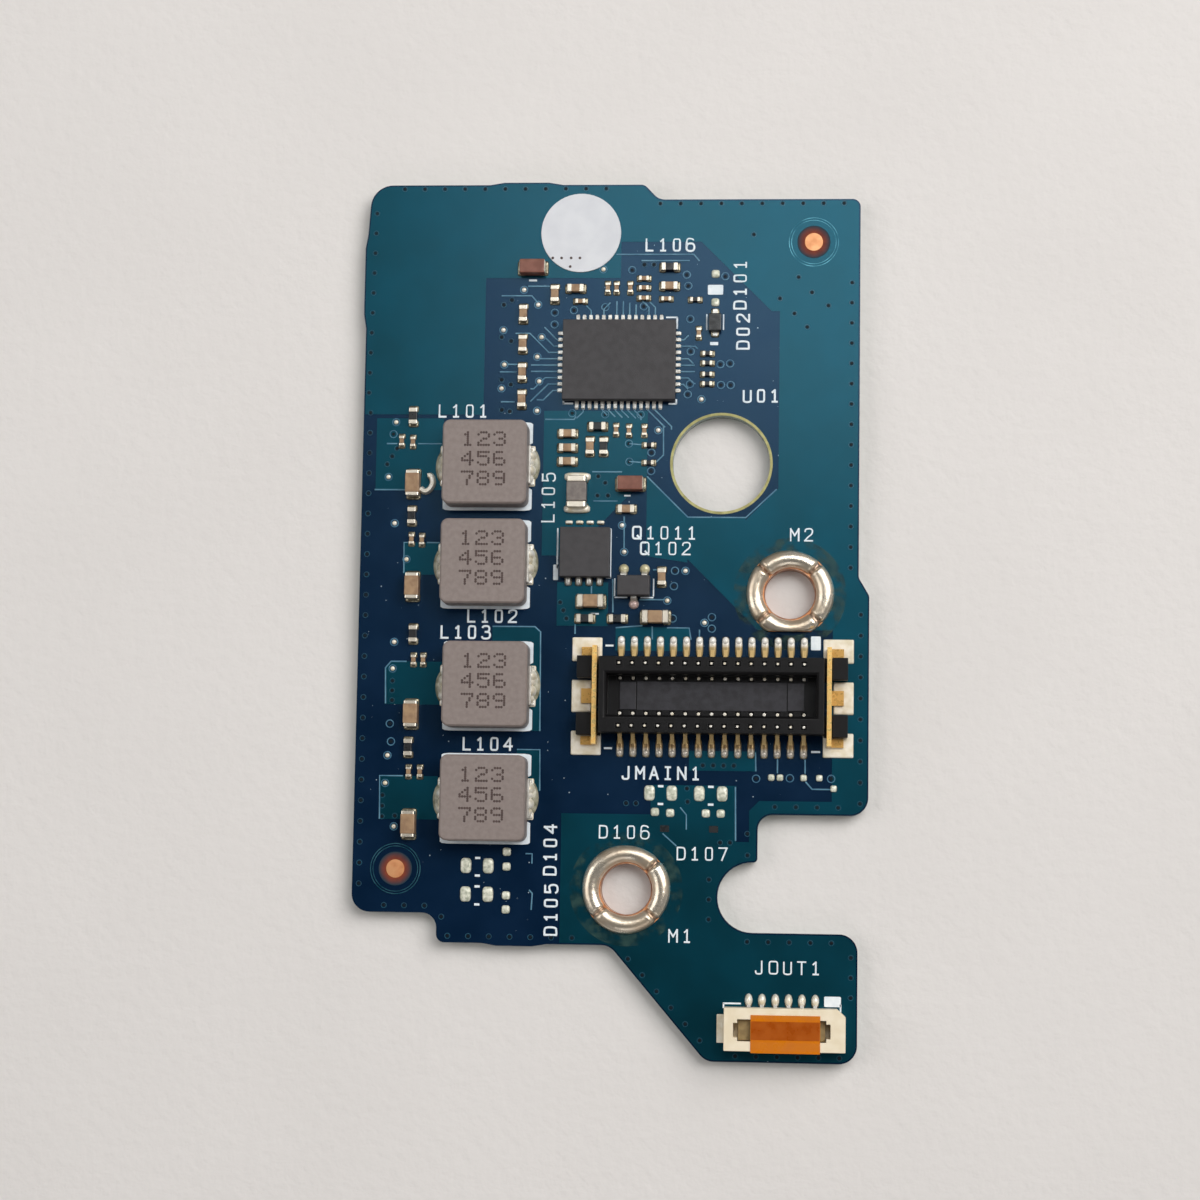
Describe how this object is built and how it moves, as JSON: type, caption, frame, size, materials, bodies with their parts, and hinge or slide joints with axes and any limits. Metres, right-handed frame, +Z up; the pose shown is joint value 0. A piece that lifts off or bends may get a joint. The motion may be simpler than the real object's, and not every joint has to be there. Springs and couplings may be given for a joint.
{
  "type": "laptop audio board",
  "caption": "Small stepped circuit board with an amplifier chip, moulded inductors, a board-to-board header and a speaker socket, that drives a laptop's speakers.",
  "frame": {"origin": "middle of the board's box in X and Y, at its underside", "axes": "+X across the board towards the notched edge, +Y along the board towards the sticker end, +Z up out of the component side"},
  "size_m": [0.0316, 0.0542, 0.0032],
  "materials": {
    "solder_mask": "semi-gloss blue-green solder mask",
    "copper": "bare copper",
    "solder": "bright solder",
    "chip_black": "matt moulded epoxy",
    "tinned_leads": "tinned",
    "inductor_grey": "moulded grey-brown powder",
    "inductor_terminal": "tinned",
    "ceramic_tan": "fired ceramic",
    "ceramic_brown": "fired ceramic",
    "resistor_black": "glazed black",
    "ferrite_grey": "sintered ferrite",
    "chip_terminal": "tinned",
    "header_black": "moulded",
    "contact_gold": "gold flashed",
    "socket_ivory": "moulded ivory",
    "tape_amber": "amber film",
    "sticker_white": "matt paper"
  },
  "bodies": {
    "root": {"circuit_board": "solder_mask", "screw_land_1": "copper", "screw_land_2": "copper", "fiducial_dots": "copper", "solder_ring_1": "solder", "solder_ring_2": "solder", "bare_pads": "solder", "solder_lands": "solder", "amplifier_body": "chip_black", "mosfet_body": "chip_black", "transistor_body": "chip_black", "diode_body": "chip_black", "amplifier_leads": "tinned_leads", "mosfet_leads": "tinned_leads", "transistor_leads": "tinned_leads", "diode_leads": "tinned_leads", "socket_contacts": "tinned_leads", "socket_solder_tab": "tinned_leads", "inductor_body_1": "inductor_grey", "inductor_body_2": "inductor_grey", "inductor_body_3": "inductor_grey", "inductor_body_4": "inductor_grey", "inductor_terminals_1": "inductor_terminal", "inductor_terminals_2": "inductor_terminal", "inductor_terminals_3": "inductor_terminal", "inductor_terminals_4": "inductor_terminal", "small_capacitor_bodies": "ceramic_tan", "medium_capacitor_bodies": "ceramic_tan", "filter_capacitor_body_1": "ceramic_tan", "filter_capacitor_body_2": "ceramic_tan", "filter_capacitor_body_3": "ceramic_tan", "filter_capacitor_body_4": "ceramic_tan", "bulk_capacitor_body_3": "ceramic_tan", "bulk_capacitor_body_4": "ceramic_tan", "bulk_capacitor_body_1": "ceramic_brown", "bulk_capacitor_body_2": "ceramic_brown", "small_resistor_bodies": "resistor_black", "medium_resistor_bodies": "resistor_black", "ferrite_bead_body": "ferrite_grey", "small_capacitor_terminals": "chip_terminal", "medium_capacitor_terminals": "chip_terminal", "small_resistor_terminals": "chip_terminal", "medium_resistor_terminals": "chip_terminal", "ferrite_bead_terminals": "chip_terminal", "filter_capacitor_terminals_1": "chip_terminal", "filter_capacitor_terminals_2": "chip_terminal", "filter_capacitor_terminals_3": "chip_terminal", "filter_capacitor_terminals_4": "chip_terminal", "bulk_capacitor_terminals_1": "chip_terminal", "bulk_capacitor_terminals_2": "chip_terminal", "bulk_capacitor_terminals_3": "chip_terminal", "bulk_capacitor_terminals_4": "chip_terminal", "header_housing": "header_black", "header_contacts_upper": "contact_gold", "header_contacts_lower": "contact_gold", "header_hold_down_left": "contact_gold", "header_hold_down_right": "contact_gold", "socket_housing": "socket_ivory", "pick_up_tape": "tape_amber", "round_sticker": "sticker_white"}
  },
  "joints": []
}
